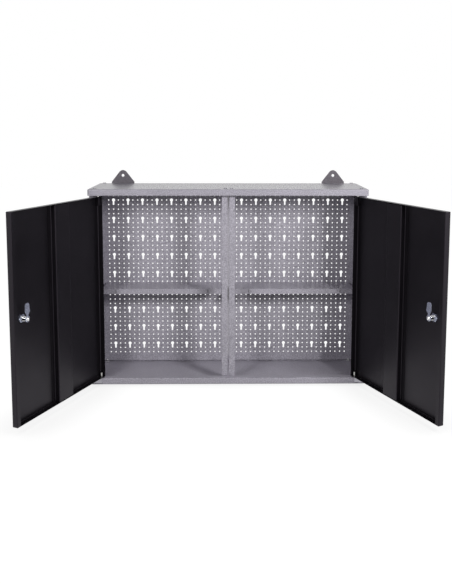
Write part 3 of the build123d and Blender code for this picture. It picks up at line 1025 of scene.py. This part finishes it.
def floor():
    """Plain white floor that keeps a faint shadow from the lamps, and a painted soft shadow near the case."""
    material = bpy.data.materials.new("floor_white")
    material.use_nodes = True
    tree = material.node_tree
    tree.nodes.clear()
    paint = add_node(tree, "ShaderNodeBsdfDiffuse", {"Color": (0.6, 0.6, 0.6, 1)})
    # painted shadow: ambient occlusion, not a lamp, dims the floor's glow near the case
    near = add_node(tree, "ShaderNodeAmbientOcclusion", {"Distance": CONTACT_REACH}, samples=16).outputs["AO"]
    level = between(tree, near, (1 - CONTACT_SHADE) / FLOOR_GLOW, 1.0 / FLOOR_GLOW, 0.0, 1.0)
    glow = add_node(tree, "ShaderNodeEmission", {"Color": (1, 1, 1, 1), "Strength": level})
    share = add_node(tree, "ShaderNodeMath", {0: seen_rays(tree), 1: FLOOR_GLOW}, operation="MULTIPLY")
    mix = add_node(tree, "ShaderNodeMixShader", {0: share.outputs[0], 1: paint.outputs[0], 2: glow.outputs[0]})
    output = add_node(tree, "ShaderNodeOutputMaterial")
    tree.links.new(mix.outputs[0], output.inputs["Surface"])
    bm = bmesh.new()
    size = 6.0
    corners = [bm.verts.new((x, y, -0.05 * MM)) for x, y in ((-size, -size), (size, -size), (size, size), (-size, size))]
    bm.faces.new(corners)
    mesh = bpy.data.meshes.new("floor")
    bm.to_mesh(mesh)
    bm.free()
    mesh.materials.append(material)
    piece = bpy.data.objects.new("floor", mesh)
    bpy.context.scene.collection.objects.link(piece)


def world(level):
    """White background for the camera and reflections; even light of this level on surfaces."""
    made = bpy.data.worlds.new("studio")
    made.use_nodes = True
    tree = made.node_tree
    tree.nodes.clear()
    strength = add_node(
        tree, "ShaderNodeMapRange",
        {"Value": seen_rays(tree), "From Min": 0.0, "From Max": 1.0, "To Min": level, "To Max": 1.0},
    )
    background = add_node(tree, "ShaderNodeBackground", {"Color": (1, 1, 1, 1), "Strength": strength.outputs[0]})
    output = add_node(tree, "ShaderNodeOutputWorld")
    tree.links.new(background.outputs[0], output.inputs["Surface"])
    bpy.context.scene.world = made


def lamp(name, turn, rise, size, level, reach=3.0):
    """Soft light that adds this level to a surface facing it in the middle of the cabinet.

    It stands turn degrees to the right of the front and rise degrees up; size is width and height."""
    a, b = radians(turn), radians(rise)
    away = Vector((sin(a) * cos(b), -cos(a) * cos(b), sin(b)))
    light = bpy.data.lights.new(name, "AREA")
    light.shape = "RECTANGLE"
    light.size, light.size_y = size
    light.energy = level * pi**2 * reach**2
    holder = bpy.data.objects.new(name, light)
    holder.location = MIDDLE + away * reach
    holder.rotation_euler = away.to_track_quat("Z", "Y").to_euler()
    bpy.context.scene.collection.objects.link(holder)


FOCAL_PX = 683.66         # focal length in pixels of the 452 x 584 picture
IMAGE = (452, 584)
AXIS_PX = (234.26, 194.23)
EYE = Vector((-9.08, -2027.6, 759.58)) * MM
YAW, PITCH, ROLL = -0.01326, -0.10428, 0.00168


def camera():
    """The photograph's view."""
    data = bpy.data.cameras.new("camera")
    data.sensor_fit = "HORIZONTAL"
    data.sensor_width = 36.0
    data.lens = FOCAL_PX * data.sensor_width / IMAGE[0]
    data.shift_x = (IMAGE[0] / 2 - AXIS_PX[0]) / IMAGE[0]
    data.shift_y = (AXIS_PX[1] - IMAGE[1] / 2) / IMAGE[0]
    holder = bpy.data.objects.new("camera", data)
    turn = Matrix.Rotation(YAW, 4, "Z") @ Matrix.Rotation(PITCH + pi / 2, 4, "X") @ Matrix.Rotation(ROLL, 4, "Z")
    holder.matrix_world = Matrix.Translation(EYE) @ turn
    bpy.context.scene.collection.objects.link(holder)
    bpy.context.scene.camera = holder


floor()
world(0.025)
lamp("key", 38, 24, (0.30, 0.38), 0.58, 1.46)
lamp("left", -30, 23, (0.35, 0.4), 0.33, 1.6)
lamp("back", 180, 35, (1.6, 1.0), 0.12)
camera()
bpy.context.scene.view_settings.view_transform = "Standard"
